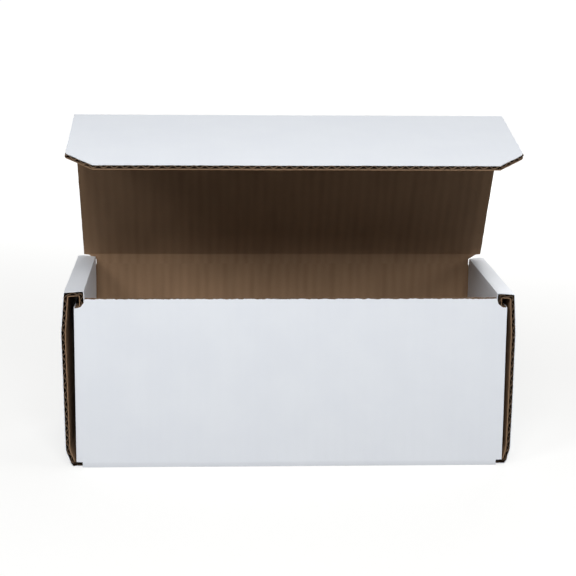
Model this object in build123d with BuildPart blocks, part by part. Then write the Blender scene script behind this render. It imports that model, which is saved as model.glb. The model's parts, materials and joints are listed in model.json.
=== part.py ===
from build123d import *
import math
import os

# Corrugated mailer box, folded from one die-cut blank of fluted board.
# The tray has roll-over side walls, and its lid ends in a chamfered tuck flap
# that closes over the outside of the front wall.
# X runs along the front wall, Y from the front to the back, Z up.
# The origin is the centre of the base's underside.

# The board and its folds
board = 3.0  # thickness, liner to liner
fold_inside = 0.6  # inside radius of a fold
air = 0.3  # air left between two layers that lie face to face
liner = 0.45  # each of the two facings
medium = 0.4  # the waved paper between them
flute_pitch = 6.0  # one wave of that paper
flute_seat = 0.9  # half the width over which a wave's crest sits on its facing
fold_turn = 8.0  # degrees of turn within one wave past which a fold has crushed it

# The tray
tray_width = 263.0  # front wall, fold to fold
tray_depth = 118.5  # outside of the front wall to outside of the back wall
wall_height = 110.3  # the back wall, up to the lid's crease
front_drop = 4.3  # the front wall is this much lower
corner_flap_gap = 34.5  # open length between a side's front and back corner flaps
notch_width = 6.5  # the scoop off each top corner of the front and back walls
notch_drop = 5.8
side_set_back = 0.4  # the side walls' raw ends stand this far inside the depth

# The roll-over side walls. The left one (-1) is rolled prouder than the right one (1).
side_sag = {-1: 0.1, 1: 1.7}  # the rolled-over edge lies this far below the back wall's top
side_foot = {-1: 6.4, 1: 5.0}  # how far the wall swells past the front wall's fold, low down
side_belly = {-1: 8.0, 1: 5.9}  # the same at its widest
side_lip = {-1: 6.0, 1: 4.4}  # the same at the rolled-over edge
foot_height = 11.0
foot_radius = 11.0
belly_radius = 44.0
belly_share = 0.78  # height of the widest place, as a share of the wall
layer_slack = 0.2  # room between a corner flap and the panel rolled in over it
crease_out = 1.1  # the base's side crease lies this far outside the front wall's fold
base_lap = 20.0  # how much of the base is drawn with each side wall
tab_width = 28.0  # the inner side panel's locking tab
tab_lift = 0.4  # the tab's end stays this far above the table
slot_air = 0.5  # room round the tab in its slot

# The lid and its flap
lid_overhang = 1.5  # the lid is this much wider than the tray at each end
lid_angle = 55.5  # above the shut lid
flap_air = 0.4  # between the front wall and the flap when the lid is shut
flap_lift = 16.1  # the shut flap ends this far above the table
flap_angle = 11.0  # below level
flap_chamfer_along = 21.0
flap_chamfer_across = 17.0
flap_corner_radius = 3.0

# Worked out from the above
fold_centre = fold_inside + board / 2  # radius of a fold at the middle of the board
fold_outside = fold_inside + board
half_width = tray_width / 2
half_depth = tray_depth / 2
front_height = wall_height - front_drop
notch_floor = front_height - notch_drop
corner_flap_length = (tray_depth - corner_flap_gap) / 2
inner_face = half_width - 2 * board - layer_slack  # the rolled-in panel's clear face
layer_floor = board + air  # what stands on the base starts here
wall_foot = fold_outside + board  # the flutes are crushed flat below this
hinge_y = half_depth - board / 2
hinge_height = wall_height + air + board / 2
lid_width = tray_width + 2 * lid_overhang
lid_length = hinge_y + half_depth + board / 2 + flap_air
flap_length = hinge_height - flap_lift

os.makedirs("parts", exist_ok=True)


def cut_flutes(middle_line, start, stop):
    """Cuts the air on both sides of the waved paper out of a strip of board that
    is being drawn end on, between two distances along its middle line."""
    hollow = board / 2 - liner
    wide = flute_pitch / 2 - flute_seat
    narrow = flute_seat - medium
    step = flute_pitch / 2
    count = int((stop - start) / step)
    first = (start + stop - (count - 1) * step) / 2
    spots = {1: [], -1: []}
    for index in range(count):
        distance = first + index * step
        before, here, after = [
            middle_line.tangent_angle_at(distance + shift, position_mode=PositionMode.LENGTH)
            for shift in (-step, 0, step)
        ]
        turn = max(abs((angle - here + 180) % 360 - 180) for angle in (before, after))
        if turn < fold_turn:
            spot = middle_line.position_at(distance, position_mode=PositionMode.LENGTH)
            spots[1 if index % 2 else -1].append(Location((spot.X, spot.Y), here))
    for facing, places in spots.items():
        with Locations(*places):
            Polygon(
                (-wide, facing * hollow),
                (wide, facing * hollow),
                (narrow, facing * (medium - hollow)),
                (-narrow, facing * (medium - hollow)),
                align=None,
                mode=Mode.SUBTRACT,
            )


def side_wall(side):
    """One roll-over side: a strip of the base, the outer wall, the rolled-over
    edge and the inner panel, as one folded strip of board."""
    top = wall_height - side_sag[side] - board / 2
    swell = half_width - board / 2
    panel = inner_face + board / 2
    with BuildPart() as wall:
        with BuildSketch(Plane.XZ):
            with BuildLine():
                strip = FilletPolyline(
                    (side * (half_width - base_lap), board / 2),
                    (side * (half_width + crease_out), board / 2),
                    (side * (swell + side_foot[side]), foot_height),
                    (side * (swell + side_belly[side]), belly_share * top),
                    (side * (swell + side_lip[side]), top),
                    (side * panel, top),
                    (side * panel, layer_floor),
                    radius=[fold_centre, foot_radius, belly_radius, fold_centre, fold_centre],
                )
            trace(line_width=board)
            cut_flutes(strip, base_lap + 2 * fold_outside, strip.length - liner)
        extrude(amount=half_depth - side_set_back, both=True)
        # The base strip ends where the front and back walls' folds begin.
        base_end = half_depth - fold_outside
        for end in (-1, 1):
            with BuildSketch(Plane.XY):
                with Locations((side * (half_width - base_lap), end * base_end)):
                    Rectangle(
                        base_lap + crease_out / 2,
                        fold_outside,
                        align=(Align.MIN if side > 0 else Align.MAX, Align.MIN if end > 0 else Align.MAX),
                    )
            extrude(amount=layer_floor, mode=Mode.SUBTRACT)
        # The inner panel and its fold fit between the front and back walls.
        for end in (-1, 1):
            with BuildSketch(Plane.XY):
                with Locations((side * (inner_face - air), end * (half_depth - board - air))):
                    Rectangle(
                        fold_outside + air,
                        board + 2 * air,
                        align=(Align.MIN if side > 0 else Align.MAX, Align.MIN if end > 0 else Align.MAX),
                    )
            extrude(amount=2 * top, mode=Mode.SUBTRACT)
    return wall.part


side_walls = [side_wall(side) for side in (-1, 1)]

# Tray: the base with the front and back walls folded up, each wall's corner flaps
# folded in along the sides, and the side walls rolled over those flaps.
with BuildPart() as tray:
    with BuildSketch(Plane.YZ):
        with BuildLine():
            FilletPolyline(
                (-half_depth + board / 2, wall_foot),
                (-half_depth + board / 2, board / 2),
                (half_depth - board / 2, board / 2),
                (half_depth - board / 2, wall_foot),
                radius=fold_centre,
            )
        trace(line_width=board)
    extrude(amount=half_width - fold_outside, both=True)
    for end, height in ((-1, front_height), (1, wall_height)):
        with BuildSketch(Plane.XY.offset(layer_floor)):
            with BuildLine():
                strip = FilletPolyline(
                    (-half_width + board / 2, end * (half_depth - corner_flap_length)),
                    (-half_width + board / 2, end * (half_depth - board / 2)),
                    (half_width - board / 2, end * (half_depth - board / 2)),
                    (half_width - board / 2, end * (half_depth - corner_flap_length)),
                    radius=fold_centre,
                )
            trace(line_width=board)
            cut_flutes(strip, liner, strip.length - liner)
        extrude(amount=height - layer_floor)
    # The scooped corners, which leave room for the rolled-over edges
    for end, height in ((-1, front_height), (1, wall_height)):
        for side in (-1, 1):
            with BuildSketch(Plane.XZ.offset(-end * half_depth)):
                with BuildLine():
                    scoop = RadiusArc(
                        (side * half_width, notch_floor),
                        (side * (half_width - notch_width), front_height - board / 2),
                        side * 1.5 * notch_width,
                    )
                    Polyline(
                        scoop @ 1,
                        (side * (half_width - notch_width), wall_height + board),
                        (side * (half_width + board), wall_height + board),
                        (side * (half_width + board), notch_floor),
                        scoop @ 0,
                    )
                make_face()
            extrude(amount=end * (corner_flap_length + 1), mode=Mode.SUBTRACT)
    add(side_walls)
    # Locking tabs on the inner side panels, through slots in the base
    for side in (-1, 1):
        with BuildSketch(Plane.XY):
            with Locations((side * (inner_face + board / 2), 0)):
                Rectangle(board + 2 * slot_air, tab_width + 2 * slot_air)
        extrude(amount=board, mode=Mode.SUBTRACT)
        with BuildSketch(Plane.XY.offset(tab_lift)):
            with Locations((side * (inner_face + board / 2), 0)):
                Rectangle(board, tab_width)
        extrude(amount=layer_floor - tab_lift)

# Planes of the open lid and flap, each running away from its own crease
lid_tilt = math.radians(lid_angle)
lid_along = Vector(0, -math.cos(lid_tilt), math.sin(lid_tilt))
hinge = Vector(0, hinge_y, hinge_height)
lid_plane = Plane(origin=hinge, x_dir=(1, 0, 0), z_dir=Vector(1, 0, 0).cross(lid_along))
flap_tilt = math.radians(flap_angle)
flap_along = Vector(0, -math.cos(flap_tilt), -math.sin(flap_tilt))
crease = hinge + lid_along * lid_length
flap_plane = Plane(origin=crease, x_dir=(1, 0, 0), z_dir=Vector(1, 0, 0).cross(flap_along))

# Lid: a flat panel with a rounded crease edge that turns on the back wall
with BuildPart() as lid_panel:
    with BuildSketch(Plane(origin=hinge, x_dir=(1, 0, 0), z_dir=lid_along)):
        with BuildLine():
            strip = Line((-lid_width / 2, 0), (lid_width / 2, 0))
        trace(line_width=board)
        cut_flutes(strip, liner, strip.length - liner)
    extrude(amount=lid_length - board / 2 - air)
    with BuildSketch(lid_plane):
        Rectangle(lid_width, fold_outside, align=(Align.CENTER, Align.MIN))
    extrude(amount=board / 2, both=True)
    with BuildSketch(Plane.YZ):
        with Locations((hinge.Y, hinge.Z)):
            Circle(board / 2)
    extrude(amount=lid_width / 2, both=True)

# Tuck flap: as wide as the lid, with its front corners cut off
with BuildPart() as tuck_flap:
    with BuildSketch(Plane(origin=crease, x_dir=(1, 0, 0), z_dir=flap_along)):
        with BuildLine():
            strip = Line((-lid_width / 2, 0), (lid_width / 2, 0))
        trace(line_width=board)
        cut_flutes(strip, liner, strip.length - liner)
    extrude(amount=flap_length)
    with BuildSketch(flap_plane):
        with BuildLine():
            Polyline(
                (-lid_width / 2, 0),
                (lid_width / 2, 0),
                (lid_width / 2, flap_length - flap_chamfer_along),
                (lid_width / 2 - flap_chamfer_across, flap_length),
                (-lid_width / 2 + flap_chamfer_across, flap_length),
                (-lid_width / 2, flap_length - flap_chamfer_along),
                close=True,
            )
        face = make_face()
        fillet(face.vertices().group_by(Axis.Y)[1] + face.vertices().group_by(Axis.Y)[-1], flap_corner_radius)
    extrude(amount=board / 2, both=True, mode=Mode.INTERSECT)
    with BuildSketch(flap_plane):
        Rectangle(lid_width, fold_outside, align=(Align.CENTER, Align.MIN))
    extrude(amount=board / 2, both=True)
    with BuildSketch(Plane.YZ):
        with Locations((crease.Y, crease.Z)):
            Circle(board / 2)
    extrude(amount=lid_width / 2, both=True)

tray.part.label = "tray"
lid_panel.part.label = "lid_panel"
tuck_flap.part.label = "tuck_flap"
export_step(tray.part, "parts/tray.step")
export_step(lid_panel.part, "parts/lid_panel.step")
export_step(tuck_flap.part, "parts/tuck_flap.step")
print("lid hinge", hinge, "flap hinge", crease)
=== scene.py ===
import json
import math

import bpy
import numpy as np
from mathutils import Matrix, Vector, noise


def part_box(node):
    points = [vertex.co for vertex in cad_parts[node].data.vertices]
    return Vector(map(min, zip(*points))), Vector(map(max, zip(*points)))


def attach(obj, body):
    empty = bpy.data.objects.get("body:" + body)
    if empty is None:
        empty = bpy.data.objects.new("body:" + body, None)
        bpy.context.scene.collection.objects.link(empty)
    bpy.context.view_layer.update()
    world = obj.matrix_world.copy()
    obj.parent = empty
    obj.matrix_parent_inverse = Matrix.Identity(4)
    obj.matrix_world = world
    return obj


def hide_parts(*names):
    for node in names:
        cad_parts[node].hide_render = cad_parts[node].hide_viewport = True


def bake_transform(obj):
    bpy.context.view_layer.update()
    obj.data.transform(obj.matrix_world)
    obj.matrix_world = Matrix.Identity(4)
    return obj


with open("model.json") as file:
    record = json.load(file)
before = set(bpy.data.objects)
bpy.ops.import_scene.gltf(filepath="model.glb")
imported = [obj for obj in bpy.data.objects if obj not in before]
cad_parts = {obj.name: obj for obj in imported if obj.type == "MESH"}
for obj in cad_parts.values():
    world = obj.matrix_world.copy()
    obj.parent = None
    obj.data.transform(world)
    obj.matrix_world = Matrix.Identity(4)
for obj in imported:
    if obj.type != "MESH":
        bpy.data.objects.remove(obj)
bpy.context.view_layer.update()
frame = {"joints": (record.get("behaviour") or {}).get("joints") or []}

# ---------------------------------------------------------------------------
# The room: a white table top that runs out to the background, four soft lights
# (front, left, right and low behind), and a long lens a metre away.
# ---------------------------------------------------------------------------
scene = bpy.context.scene
scene.view_settings.view_transform = "Standard"

camera_place = Vector((-0.0522, -1.0397, 0.3195))
camera_down, camera_right, camera_lean = (math.radians(a) for a in (11.9, 2.9, 0.53))
camera_ahead = Vector((
    math.sin(camera_right) * math.cos(camera_down),
    math.cos(camera_right) * math.cos(camera_down),
    -math.sin(camera_down),
))
camera_side = Vector((math.cos(camera_right), -math.sin(camera_right), 0))
camera_top = camera_side.cross(camera_ahead)
turned_side = camera_side * math.cos(camera_lean) + camera_top * math.sin(camera_lean)
turned_top = camera_top * math.cos(camera_lean) - camera_side * math.sin(camera_lean)
camera = bpy.data.objects.new("camera", bpy.data.cameras.new("camera"))
camera.data.lens = 104.0
camera.matrix_world = Matrix.Translation(camera_place) @ Matrix(
    (turned_side, turned_top, -camera_ahead)
).transposed().to_4x4()
scene.collection.objects.link(camera)
scene.camera = camera

for lamp_name, turn, lift, distance, width, height, power in (
    ("lamp_front", -2, 34, 1.30, 0.60, 0.40, 11.8),
    ("lamp_left", -42, 35, 1.30, 0.40, 0.40, 5.2),
    ("lamp_right", 74, 22, 1.30, 0.70, 0.50, 5.5),
    ("lamp_back", 166, 14, 1.30, 0.80, 0.40, 8.0),
):
    turn, lift = math.radians(turn), math.radians(lift)
    way = Vector((math.sin(turn) * math.cos(lift), -math.cos(turn) * math.cos(lift), math.sin(lift)))
    lamp = bpy.data.objects.new(lamp_name, bpy.data.lights.new(lamp_name, "AREA"))
    lamp.data.shape = "RECTANGLE"
    lamp.data.size, lamp.data.size_y, lamp.data.energy = width, height, power
    lamp.location = Vector((0, 0, 0.09)) + way * distance
    lamp.rotation_mode = "QUATERNION"
    lamp.rotation_quaternion = way.to_track_quat("Z", "Y")
    scene.collection.objects.link(lamp)


class Value:
    """A number on its way through a finish: an expression on it adds Math nodes."""

    def __init__(self, finish, socket):
        self.finish, self.socket = finish, socket

    def math(self, operation, *others):
        inputs = dict(enumerate((self, *others)))
        return self.finish.node("ShaderNodeMath", {"operation": operation}, inputs)

    def __add__(self, other):
        return self.math("ADD", other)

    def __sub__(self, other):
        return self.math("SUBTRACT", other)

    def __mul__(self, other):
        return self.math("MULTIPLY", other)

    def __rsub__(self, other):
        return self.finish.node("ShaderNodeMath", {"operation": "SUBTRACT"}, {0: other, 1: self})

    def above(self, low, high):
        """0 under low, 1 over high, and a smooth step between them."""
        return self.finish.node(
            "ShaderNodeMapRange", {"interpolation_type": "SMOOTHSTEP"}, {"Value": self, 1: low, 2: high}
        )

    __radd__, __rmul__ = __add__, __mul__


class Finish:
    """One material, built node by node."""

    def __init__(self, name):
        self.material = bpy.data.materials.new(name)
        self.material.use_nodes = True
        self.tree = self.material.node_tree
        self.shader = self.tree.nodes["Principled BSDF"]

    def node(self, kind, settings, inputs, output=0):
        made = self.tree.nodes.new(kind)
        for key, setting in settings.items():
            setattr(made, key, setting)
        for key, source in inputs.items():
            if isinstance(source, Value):
                self.tree.links.new(source.socket, made.inputs[key])
            else:
                made.inputs[key].default_value = source
        return Value(self, made.outputs[output])

    def mix(self, amount, first, second):
        """From the first colour to the second."""
        return self.node("ShaderNodeMix", {"data_type": "RGBA"}, {0: amount, 6: first, 7: second}, 2)

    def feed(self, **sources):
        """Links values to the shader's sockets, or sets them."""
        for key, source in sources.items():
            socket = self.shader.inputs[key.replace("_", " ")]
            if isinstance(source, Value):
                self.tree.links.new(source.socket, socket)
            else:
                socket.default_value = source


# The table top shows white to the camera, whiter further off, and keeps the
# box's soft shadow. It throws little light back up at the box.
table_finish = Finish("table_white")
table_finish.feed(Base_Color=(0.10, 0.10, 0.10, 1), Roughness=0.9)
nodes, links = table_finish.tree.nodes, table_finish.tree.links
spot = table_finish.node("ShaderNodeTexCoord", {}, {}, 3)
away = table_finish.node("ShaderNodeVectorMath", {"operation": "LENGTH"}, {0: spot}, 1)
paths = nodes.new("ShaderNodeLightPath")
seen = nodes.new("ShaderNodeMath")
seen.operation = "MAXIMUM"
links.new(paths.outputs["Is Camera Ray"], seen.inputs[0])
links.new(paths.outputs["Is Glossy Ray"], seen.inputs[1])
shade = nodes.new("ShaderNodeBsdfDiffuse")
shade.inputs["Color"].default_value = (0.30, 0.30, 0.29, 1)
glow = nodes.new("ShaderNodeEmission")
links.new((away.above(0.3, 1.6) * 0.30 + 0.70).socket, glow.inputs["Strength"])
both = nodes.new("ShaderNodeAddShader")
links.new(shade.outputs[0], both.inputs[0])
links.new(glow.outputs[0], both.inputs[1])
pick = nodes.new("ShaderNodeMixShader")
links.new(seen.outputs[0], pick.inputs[0])
links.new(table_finish.shader.outputs[0], pick.inputs[1])
links.new(both.outputs[0], pick.inputs[2])
links.new(pick.outputs[0], nodes["Material Output"].inputs["Surface"])
bpy.ops.mesh.primitive_plane_add(size=24.0)
table_top = bpy.context.object
table_top.name = "table_top"
table_top.data.materials.append(table_finish.material)

world = bpy.data.worlds.new("room")
world.use_nodes = True
scene.world = world
room, room_links = world.node_tree.nodes, world.node_tree.links
room_paths = room.new("ShaderNodeLightPath")
room_seen = room.new("ShaderNodeMath")
room_seen.operation = "MAXIMUM"
room_links.new(room_paths.outputs["Is Camera Ray"], room_seen.inputs[0])
room_links.new(room_paths.outputs["Is Glossy Ray"], room_seen.inputs[1])
room_level = room.new("ShaderNodeMapRange")
room_level.inputs["To Min"].default_value = 0.08
room_level.inputs["To Max"].default_value = 1.0
room_links.new(room_seen.outputs[0], room_level.inputs["Value"])
room_links.new(room_level.outputs[0], room["Background"].inputs["Strength"])
room["Background"].inputs["Color"].default_value = (1, 1, 1, 1)

# ---------------------------------------------------------------------------
# Tray, the floor strip: the base with the lowest few millimetres of the front
# and back walls. The whole box is one die-cut sheet of fluted board: a white
# facing outside, a brown one inside, and a waved brown paper glued between.
# ---------------------------------------------------------------------------
mm = 0.001
tray_low, tray_high = (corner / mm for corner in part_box("tray"))
lid_low, lid_high = (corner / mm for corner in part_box("lid_panel"))
lid_joint, flap_joint = frame["joints"]
lid_hinge = Vector(lid_joint["pos_m"]) / mm
flap_hinge = Vector(flap_joint["pos_m"]) / mm

board = 3.0
facing = 0.45
wave_pitch = 6.0
wave_paper = 0.32
wave_height = board - 2 * facing - wave_paper
fold_radius = 2.1
fold_outside = fold_radius + board / 2
layer_air = 0.3
score_crispness = 0.7

half_depth = (tray_high.y - tray_low.y) / 2
lid_width = lid_high.x - lid_low.x
half_width = lid_width / 2 - 1.5
wall_height = tray_high.z
front_height = wall_height - 4.3
wall_foot = fold_outside + 0.1
seam_below_hinge = 7.0


def folded(corners, radii, gap):
    """The middle line of a folded strip of board: straight runs joined by arcs,
    in points about gap apart. Returns the points, the normals to the left of the
    way they run, their distances, how tightly each is folded, 0 to 1, and how far
    a square corner round the arc would stand past it, as a share of the radius."""
    corners = [np.array(c, float) for c in corners]
    points, normals, tightness, square = [], [], [], []
    begin = corners[0]
    for index in range(1, len(corners)):
        run = corners[index] - corners[index - 1]
        run = run / np.linalg.norm(run)
        left = np.array((-run[1], run[0]))
        end = corners[index]
        if index < len(corners) - 1:
            onward = corners[index + 1] - corners[index]
            onward = onward / np.linalg.norm(onward)
            turn = math.atan2(run[0] * onward[1] - run[1] * onward[0], run @ onward)
            radius = radii[index - 1]
            end = corners[index] - run * radius * math.tan(abs(turn) / 2)
        count = max(2, math.ceil(np.linalg.norm(end - begin) / gap))
        for step in range(count):
            points.append(begin + (end - begin) * step / count)
            normals.append(left)
            tightness.append(0.0)
            square.append(0.0)
        if index == len(corners) - 1:
            points.append(end)
            normals.append(left)
            tightness.append(0.0)
            square.append(0.0)
        else:
            bend = math.copysign(1, turn)
            centre = end + left * radius * bend
            count = max(3, math.ceil(abs(turn) * radius / gap), math.ceil(abs(turn) / math.radians(12)))
            for step in range(count):
                angle = turn * step / count
                spoke = -left * bend
                spoke = np.array((
                    spoke[0] * math.cos(angle) - spoke[1] * math.sin(angle),
                    spoke[0] * math.sin(angle) + spoke[1] * math.cos(angle),
                ))
                points.append(centre + spoke * radius)
                normals.append(-spoke * bend)
                tightness.append(min(1.0, fold_radius / radius) if step else 0.0)
                nearer_end = min(abs(angle), abs(turn) - abs(angle))
                square.append(1 / math.cos(nearer_end) - 1 if radius < 4 else 0.0)
            begin = centre + radius * bend * np.array((
                left[1] * math.sin(turn) - left[0] * math.cos(turn),
                -left[0] * math.sin(turn) - left[1] * math.cos(turn),
            ))
    points, normals = np.array(points), np.array(normals)
    distances = np.concatenate(([0], np.cumsum(np.linalg.norm(np.diff(points, axis=0), axis=1))))
    return points, normals, distances, np.array(tightness), np.array(square)


def wander(places, size, seed):
    """Smooth noise from about -1 to 1 at each place, size across."""
    shift = Vector((seed * 17.3, seed * 5.1, seed * 9.7))
    flat = places.reshape(-1, 3) / size
    return np.array([noise.noise(Vector(p) + shift) for p in flat]).reshape(places.shape[:-1])


class Strip:
    """A strip of board: its middle surface, on rows along a folded line and
    columns across it. flutes is "across" where the waves' crests cross the folds,
    and "along" where they run beside them."""

    def __init__(self, line, spans, order, white, flutes, count=None, ease=0.12):
        points, normals, distances, tightness, square = line
        rows = len(points)
        spans = np.broadcast_to(np.asarray(spans, float), (rows, 2))
        share = np.linspace(0, 1, count) if isinstance(count, int) else np.asarray(count)
        reach = spans[:, :1] + (spans[:, 1:] - spans[:, :1]) * share
        self.places = np.zeros((rows, len(share), 3))
        self.up = np.zeros_like(self.places)
        self.places[..., order[0]] = points[:, :1]
        self.places[..., order[1]] = points[:, 1:]
        self.places[..., order[2]] = reach
        self.up[..., order[0]] = normals[:, :1] * white
        self.up[..., order[1]] = normals[:, 1:] * white
        along = np.broadcast_to(distances[:, None], reach.shape)
        self.across = along if flutes == "along" else reach
        self.beside = reach if flutes == "along" else along
        self.crush = np.broadcast_to(tightness[:, None], reach.shape) * (flutes == "along")
        self.square = np.broadcast_to(square[:, None], reach.shape)
        lift = wander(self.places, 45.0, 1)
        self.places = self.places + self.up * (lift * ease)[..., None]

    def fray(self, amount, edges, seed, drawn_back=0.0):
        """Roughens the named raw edges, which the die cut or tore and drew back."""
        ends = {"first": (0, 1), "last": (-1, -2)}
        for edge in edges:
            which, (outer, inner) = edge.split()[0], ends[edge.split()[1]]
            grid = self.places if which == "row" else self.places.swapaxes(0, 1)
            away = grid[outer] - grid[inner]
            away = away / np.maximum(np.linalg.norm(away, axis=1, keepdims=True), 1e-6)
            rough = wander(grid[outer], 1.3, seed) + 0.7 * wander(grid[outer], 4.0, seed + 1)
            grid[outer] = grid[outer] + away * (rough * amount - drawn_back)[:, None]
        return self


def sheet_mesh(name, strip, low, high, materials, faces_up=True, closed=True):
    """A mesh of a strip between two heights over its middle surface: a closed
    sheet, with its second material on the face that looks in at the waves, or the
    bare middle surface with the attributes that the waves need."""
    rows, columns = strip.places.shape[:2]
    index = np.arange(rows * columns).reshape(rows, columns)
    quads = np.stack((index[:-1, :-1], index[1:, :-1], index[1:, 1:], index[:-1, 1:]), -1).reshape(-1, 4)
    border = np.concatenate((index[0, :-1], index[:-1, -1], index[-1, :0:-1], index[:0:-1, 0]))
    facing_way = np.cross(
        strip.places[1, 0] - strip.places[0, 0], strip.places[0, 1] - strip.places[0, 0]
    )
    if facing_way @ strip.up[0, 0] < 0:
        quads, border = quads[:, ::-1], border[::-1]
    middle = strip.places.reshape(-1, 3)
    up = strip.up.reshape(-1, 3)
    pattern = np.stack((strip.across, strip.beside), -1).reshape(-1, 2) * mm
    if closed:
        size = rows * columns
        crisp = strip.square.reshape(-1, 1) * score_crispness * (fold_outside if faces_up else 0)
        places = np.concatenate((middle + up * (high + crisp), middle + up * (low + crisp)))
        pattern = np.concatenate((pattern, pattern))
        after = np.roll(border, -1)
        rim = np.stack((border, after, after + size, border + size), -1)
        faces = np.concatenate((quads, quads[:, ::-1] + size, rim))
        slots = np.repeat((0, 1, 0) if faces_up else (1, 0, 0), (len(quads), len(quads), len(rim)))
    else:
        places, faces, slots = middle, quads, np.zeros(len(quads), int)
    mesh = bpy.data.meshes.new(name)
    mesh.from_pydata((places * mm).tolist(), [], faces.tolist())
    for material in materials:
        mesh.materials.append(material)
    if len(materials) > 1:
        mesh.polygons.foreach_set("material_index", slots.astype(np.int32))
    corners = np.zeros(len(mesh.loops), np.int32)
    mesh.loops.foreach_get("vertex_index", corners)
    layer = mesh.uv_layers.new(name="board")
    layer.data.foreach_set("uv", pattern[corners].ravel().astype(np.float32))
    if not closed:
        for key, kind, data in (
            ("across", "FLOAT", strip.across.ravel() * mm),
            ("crush", "FLOAT", strip.crush.ravel()),
            ("up", "FLOAT_VECTOR", up.ravel()),
        ):
            attribute = mesh.attributes.new(key, kind, "POINT")
            field = "vector" if kind == "FLOAT_VECTOR" else "value"
            attribute.data.foreach_set(field, data.astype(np.float32))
    mesh.polygons.foreach_set("use_smooth", np.ones(len(mesh.polygons), bool))
    mesh.set_sharp_from_angle(angle=math.radians(35))
    piece = bpy.data.objects.new(name, mesh)
    scene.collection.objects.link(piece)
    return piece


def paper_finish(name, tone, pale, dark, specks, ridge, roughness, flute_shade):
    """Paper: cloudy tone, fibres, and the faint ridges of the waves glued behind
    it, which the board pattern places: bumped, and darkened along the ridges and in
    streaks along the flutes as painted shade."""
    finish = Finish(name)
    place = finish.node("ShaderNodeTexCoord", {}, {}, 3)
    pattern = finish.node("ShaderNodeUVMap", {"uv_map": "board"}, {})
    across = finish.node("ShaderNodeSeparateXYZ", {}, {0: pattern})
    ridges = (across * (2 * math.pi / (wave_pitch * mm))).math("SINE")
    clouds = finish.node("ShaderNodeTexNoise", {}, {"Vector": place, "Scale": 34.0, "Detail": 4.0})
    streaked = finish.node("ShaderNodeMapping", {}, {"Vector": pattern, "Scale": (1.0, 0.12, 1.0)})
    streaks = finish.node("ShaderNodeTexNoise", {}, {"Vector": streaked, "Scale": 150.0, "Detail": 2.0})
    fibres = finish.node("ShaderNodeTexNoise", {}, {"Vector": place, "Scale": 1100.0, "Detail": 3.0})
    flecks = finish.node("ShaderNodeTexNoise", {}, {"Vector": place, "Scale": 2600.0, "Detail": 1.0})
    cloudy = finish.mix(clouds.above(0.3, 0.7), tone, pale)
    fleck_mask = flecks.above(0.62, 0.74) * specks
    flecked = finish.mix(fleck_mask, cloudy, dark)
    # painted shade: the colour darkens along the flute ridges and in streaks along the flutes, standing in
    # for the washboard's shade
    shaded = (0.5 - ridges * 0.5) * flute_shade + (streaks.above(0.35, 0.75)) * flute_shade * 1.4
    finish.feed(Base_Color=finish.mix(shaded, flecked, dark))
    finish.feed(Roughness=clouds * 0.16 + (roughness - 0.08))
    height = ridges * ridge + streaks * ridge * 1.5 + fibres * 0.00006 + flecks * 0.00002
    bump = finish.node("ShaderNodeBump", {}, {"Strength": 0.6, "Distance": 1.0, "Height": height})
    finish.feed(Normal=bump)
    finish.shader.inputs["Specular IOR Level"].default_value = 0.25
    return finish.material


white_paper = paper_finish(
    "white_facing", (0.755, 0.785, 0.835, 1), (0.775, 0.805, 0.850, 1), (0.60, 0.60, 0.61, 1),
    0.06, 0.000012, 0.62, 0.012,
)
brown_paper = paper_finish(
    "brown_facing", (0.275, 0.172, 0.100, 1), (0.300, 0.188, 0.110, 1), (0.150, 0.090, 0.050, 1),
    0.45, 0.00003, 0.80, 0.16,
)
# The waved paper, and the facings' faces that look in at it: the paper's own brown, painted much darker
# than the kraft facing as painted shade inside the flute channels.
waved_brown_shaded = paper_finish(
    "waved_paper", (0.105, 0.066, 0.040, 1), (0.150, 0.096, 0.058, 1), (0.040, 0.025, 0.015, 1),
    0.50, 0.0, 0.88, 0.0,
)


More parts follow.
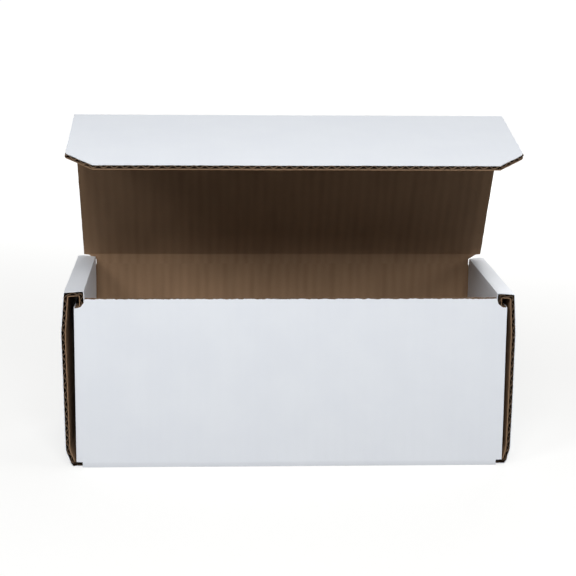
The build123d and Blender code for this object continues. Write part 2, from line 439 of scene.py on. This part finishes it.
def waved_tree():
    """The waved paper between the facings: lifts a bare middle surface into
    waves by its distance across them, flattened where a fold has crushed it."""
    tree = bpy.data.node_groups.new("waved_paper", "GeometryNodeTree")
    tree.is_modifier = True
    face = tree.interface
    face.new_socket("Geometry", in_out="INPUT", socket_type="NodeSocketGeometry")
    for label, value in (("Pitch", wave_pitch * mm), ("Height", wave_height * mm), ("Crushed", 0.55)):
        face.new_socket(label, in_out="INPUT", socket_type="NodeSocketFloat").default_value = value
    face.new_socket("Paper", in_out="INPUT", socket_type="NodeSocketMaterial")
    face.new_socket("Geometry", in_out="OUTPUT", socket_type="NodeSocketGeometry")
    link = tree.links.new

    def add(kind, **settings):
        made = tree.nodes.new(kind)
        for key, setting in settings.items():
            setattr(made, key, setting)
        return made

    def numbers(operation, first, second=None):
        made = add("ShaderNodeMath", operation=operation)
        for socket, source in zip(made.inputs, (first, second)):
            if isinstance(source, (int, float)):
                socket.default_value = source
            elif source is not None:
                link(source, socket)
        return made.outputs[0]

    def named(key, kind):
        made = add("GeometryNodeInputNamedAttribute", data_type=kind)
        made.inputs["Name"].default_value = key
        return made.outputs[0]

    given = add("NodeGroupInput")
    turns = numbers("DIVIDE", named("across", "FLOAT"), given.outputs["Pitch"])
    wave = numbers("SINE", numbers("MULTIPLY", turns, 2 * math.pi))
    kept = numbers("SUBTRACT", 1.0, numbers("MULTIPLY", named("crush", "FLOAT"), given.outputs["Crushed"]))
    reach = numbers("MULTIPLY", numbers("MULTIPLY", given.outputs["Height"], 0.5), kept)
    lift = add("ShaderNodeVectorMath", operation="SCALE")
    link(named("up", "FLOAT_VECTOR"), lift.inputs[0])
    link(numbers("MULTIPLY", wave, reach), lift.inputs["Scale"])
    moved = add("GeometryNodeSetPosition")
    link(given.outputs["Geometry"], moved.inputs["Geometry"])
    link(lift.outputs[0], moved.inputs["Offset"])
    real = add("GeometryNodeRealizeInstances")
    link(moved.outputs[0], real.inputs[0])
    painted = add("GeometryNodeSetMaterial")
    link(real.outputs[0], painted.inputs["Geometry"])
    link(given.outputs["Paper"], painted.inputs["Material"])
    link(painted.outputs[0], add("NodeGroupOutput").inputs[0])
    return tree


waves_tree = waved_tree()


def set_input(modifier, label, value):
    for item in modifier.node_group.interface.items_tree:
        if item.item_type == "SOCKET" and item.in_out == "INPUT" and item.name == label:
            modifier[item.identifier] = value


def finished(piece):
    """The piece with its modifiers made into a plain mesh."""
    bpy.context.view_layer.update()
    graph = bpy.context.evaluated_depsgraph_get()
    mesh = bpy.data.meshes.new_from_object(piece.evaluated_get(graph))
    piece.modifiers.clear()
    piece.data = mesh
    return piece


def waved(name, strip):
    piece = sheet_mesh(name, strip, 0, 0, (waved_brown_shaded,), closed=False)
    waves = piece.modifiers.new("waves", "NODES")
    waves.node_group = waves_tree
    set_input(waves, "Paper", waved_brown_shaded)
    thickness = piece.modifiers.new("thickness", "SOLIDIFY")
    thickness.thickness = wave_paper * mm
    thickness.offset = 0.0
    return finished(piece)


def joined(name, parts):
    """Like parts of one body as one piece."""
    bpy.ops.object.select_all(action="DESELECT")
    for part in parts:
        part.select_set(True)
    bpy.context.view_layer.objects.active = parts[0]
    if len(parts) > 1:
        bpy.ops.object.join()
    parts[0].name = name
    return parts[0]


white_parts, brown_parts, wave_parts = [], [], []


def lay_board(name, make, gap, wave_gap, frays, seed):
    """The two facings and the waves of one strip. make(gap) gives the strip."""
    outside = make(gap).fray(0.34, frays, seed, 0.30)
    # The face toward the waves takes the darker waved paper: painted shade of the flute channels.
    outside_papers = (white_paper, waved_brown_shaded)
    white_parts.append(sheet_mesh(name + "_white", outside, board / 2 - facing, board / 2, outside_papers))
    inside = make(gap).fray(0.22, frays, seed + 5)
    inside_papers = (brown_paper, waved_brown_shaded)
    brown_parts.append(
        sheet_mesh(name + "_brown", inside, -board / 2, facing - board / 2, inside_papers, faces_up=False)
    )
    if wave_gap:
        wave_parts.append(waved(name + "_waves", make(wave_gap).fray(0.12, frays, seed + 9)))


floor_reach = half_width - fold_outside
in_profile = (1, 2, 0)
in_plan = (0, 1, 2)
in_front = (0, 2, 1)


def floor_strip(gap):
    line = folded(
        (
            (board / 2 - half_depth, wall_foot),
            (board / 2 - half_depth, board / 2),
            (half_depth - board / 2, board / 2),
            (half_depth - board / 2, wall_foot),
        ),
        (fold_radius, fold_radius),
        4 * gap,
    )
    columns = round(2 * floor_reach / (2 * gap))
    return Strip(line, (-floor_reach, floor_reach), in_profile, -1, "across", columns)


lay_board("floor", floor_strip, 1.0, None, ("column first", "column last"), 11)

# ---------------------------------------------------------------------------
# Tray, front and back walls: each folds up from the base, and its ends fold in
# as corner flaps that stand inside the side walls. The flutes stand upright, so
# the front wall's top is a raw edge of open flutes. The die scooped its corners.
# ---------------------------------------------------------------------------
corner_flap_length = half_depth - 17.25
scoop_width = 6.7
scoop_drop = 5.8


def upright_wall(end, top, gap):
    wall_line = half_depth - board / 2
    flap_line = half_width - board / 2
    line = folded(
        (
            (-flap_line, end * (half_depth - corner_flap_length)),
            (-flap_line, end * wall_line),
            (flap_line, end * wall_line),
            (flap_line, end * (half_depth - corner_flap_length)),
        ),
        (fold_radius, fold_radius),
        gap,
    )
    points = line[0]
    inset = half_width - np.abs(points[:, 0])
    scoop = np.clip(1 - inset / scoop_width, 0, 1)
    on_flap = np.abs(points[:, 0]) > flap_line - 0.01
    tops = np.minimum(top, front_height - scoop_drop * np.sqrt(np.clip(1 - (1 - scoop) ** 2, 0, 1)))
    tops = np.where(scoop <= 0, top, tops)
    bottoms = np.where(on_flap, board + layer_air, wall_foot)
    rows = np.concatenate(([0, 0.012], np.linspace(0.06, 0.94, 9), [0.985, 1]))
    return Strip(line, np.stack((bottoms, tops), -1), in_plan, end, "along", rows)


for end, label, top in ((-1, "front", front_height), (1, "back", lid_hinge.z - seam_below_hinge)):
    raw = ("row first", "row last", "column last") if end < 0 else ("row first", "row last")
    lay_board(label + "_wall", lambda gap: upright_wall(end, top, gap), 0.8, 0.5, raw, 20 + end)

# ---------------------------------------------------------------------------
# Tray, side walls: each folds up from the base, swells outwards, rolls over the
# top and comes down inside, white side showing, to tabs locked in the base. The
# flutes lie level here, so both raw ends show them end on.
# ---------------------------------------------------------------------------
side_set_back = 0.4
crease_out = 1.1
inner_face = half_width - 2 * board - 0.2
foot_height = 11.0
belly_share = 0.78
side_sag = {-1: 0.1, 1: 1.7}
side_foot = {-1: 6.4, 1: 5.0}
side_belly = {-1: 8.0, 1: 5.9}
side_lip = {-1: 6.0, 1: 4.4}


def side_strip(side, gap):
    top = wall_height - side_sag[side] - board / 2
    swell = half_width - board / 2
    line = folded(
        (
            (side * floor_reach, board / 2),
            (side * (half_width + crease_out), board / 2),
            (side * (swell + side_foot[side]), foot_height),
            (side * (swell + side_belly[side]), belly_share * top),
            (side * (swell + side_lip[side]), top),
            (side * (inner_face + board / 2), top),
            (side * (inner_face + board / 2), board + layer_air),
        ),
        (fold_radius, 11.0, 44.0, fold_radius, fold_radius),
        gap,
    )
    distances = line[2]
    up_the_base = crease_out + fold_outside
    down_inside = distances[-1] - (top - board - layer_air)
    ends = np.interp(
        distances,
        (
            0, up_the_base - 1, up_the_base + 2,
            down_inside - 6, down_inside - 3, down_inside + 1, distances[-1],
        ),
        (
            fold_outside, fold_outside, side_set_back,
            side_set_back, 1.4, board + layer_air, board + layer_air,
        ),
    )
    reach = half_depth - ends
    share = np.concatenate(([0, 0.011], np.linspace(0.04, 0.96, 24), [0.989, 1]))
    return Strip(line, np.stack((-reach, reach), -1), in_front, -side, "along", share, ease=0.2)


for side, label in ((-1, "left"), (1, "right")):
    raw = ("column first", "column last", "row last")
    lay_board(label + "_side", lambda gap: side_strip(side, gap), 0.8, 0.5, raw, 40 + side)

# Locking tabs: the end of each inner side panel, pushed down into a slot in the base.
tab_width = 28.0
for side, label in ((-1, "left"), (1, "right")):
    across = side * (inner_face + board / 2)
    line = folded(((across, board + layer_air), (across, 0.4)), (), 1.0)
    tab = Strip(line, (-tab_width / 2, tab_width / 2), in_front, -side, "along", 15, ease=0.0)
    white_parts.append(sheet_mesh(label + "_tab", tab, 0, board / 2, (white_paper, waved_brown_shaded)))
    tab_back = sheet_mesh(label + "_tab_back", tab, -board / 2, 0, (brown_paper, waved_brown_shaded), False)
    brown_parts.append(tab_back)

for name, parts, slot in (
    ("tray_white_facing", white_parts, "white_board"),
    ("tray_brown_facing", brown_parts, "kraft_board"),
    ("tray_waves", wave_parts, "kraft_board"),
):
    piece = joined(name, parts)
    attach(piece, "tray")
    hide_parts("tray")

# ---------------------------------------------------------------------------
# Lid: the same sheet, going on past the crease at the back wall's top. The
# flutes run from the crease to the flap. It bends at the crease, so the strip
# starts a little way down the wall and turns with both.
# ---------------------------------------------------------------------------
lid_run = (flap_hinge - lid_hinge).normalized()
lid_length = (flap_hinge - lid_hinge).length
seam_before_flap = 9.0
lid_crease_radius = 3.2
wall_reach = half_width - 6.5


def lid_strip(gap):
    start = lid_hinge - Vector((0, 0, seam_below_hinge))
    stop = lid_hinge + lid_run * (lid_length - seam_before_flap)
    line = folded([(p.y, p.z) for p in (start, lid_hinge, stop)], (lid_crease_radius,), 5 * gap)
    distances = line[2]
    reach = np.interp(
        distances,
        (0, seam_below_hinge - 1.6, seam_below_hinge - 0.6, distances[-1]),
        (wall_reach, wall_reach, lid_width / 2, lid_width / 2),
    )
    columns = round(lid_width / gap) + 1
    return Strip(line, np.stack((-reach, reach), -1), in_profile, -1, "across", columns)


white_parts, brown_parts, wave_parts = [], [], []
lay_board("lid", lid_strip, 1.0, 0.5, ("column first", "column last"), 60)
for name, parts, slot in (
    ("lid_white_facing", white_parts, "white_board"),
    ("lid_brown_facing", brown_parts, "kraft_board"),
    ("lid_waves", wave_parts, "kraft_board"),
):
    piece = joined(name, parts)
    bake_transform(piece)
    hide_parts("lid_panel")

# ---------------------------------------------------------------------------
# Tuck flap: the end of the sheet, past the lid's front crease, with its two
# corners cut off. Its front is a raw edge of open flutes.
# ---------------------------------------------------------------------------
flap_droop = math.radians(flap_joint["range_deg"][1] + lid_joint["range_deg"][0])
flap_run = Vector((0, -math.cos(flap_droop), -math.sin(flap_droop)))
flap_length = lid_hinge.z - 16.1
chamfer_along = 21.0
chamfer_across = 17.0


def flap_strip(gap):
    start = flap_hinge - lid_run * seam_before_flap
    stop = flap_hinge + flap_run * flap_length
    line = folded([(p.y, p.z) for p in (start, flap_hinge, stop)], (fold_radius,), 2.5 * gap)
    distances = line[2]
    left = distances[-1] - distances
    cut = np.maximum(0, 1 - left / chamfer_along)
    reach = lid_width / 2 - chamfer_across * cut
    columns = round(lid_width / gap) + 1
    return Strip(line, np.stack((-reach, reach), -1), in_profile, -1, "across", columns)


white_parts, brown_parts, wave_parts = [], [], []
lay_board("flap", flap_strip, 1.0, 0.5, ("column first", "column last", "row last"), 80)
for name, parts, slot in (
    ("flap_white_facing", white_parts, "white_board"),
    ("flap_brown_facing", brown_parts, "kraft_board"),
    ("flap_waves", wave_parts, "kraft_board"),
):
    piece = joined(name, parts)
    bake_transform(piece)
    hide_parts("tuck_flap")
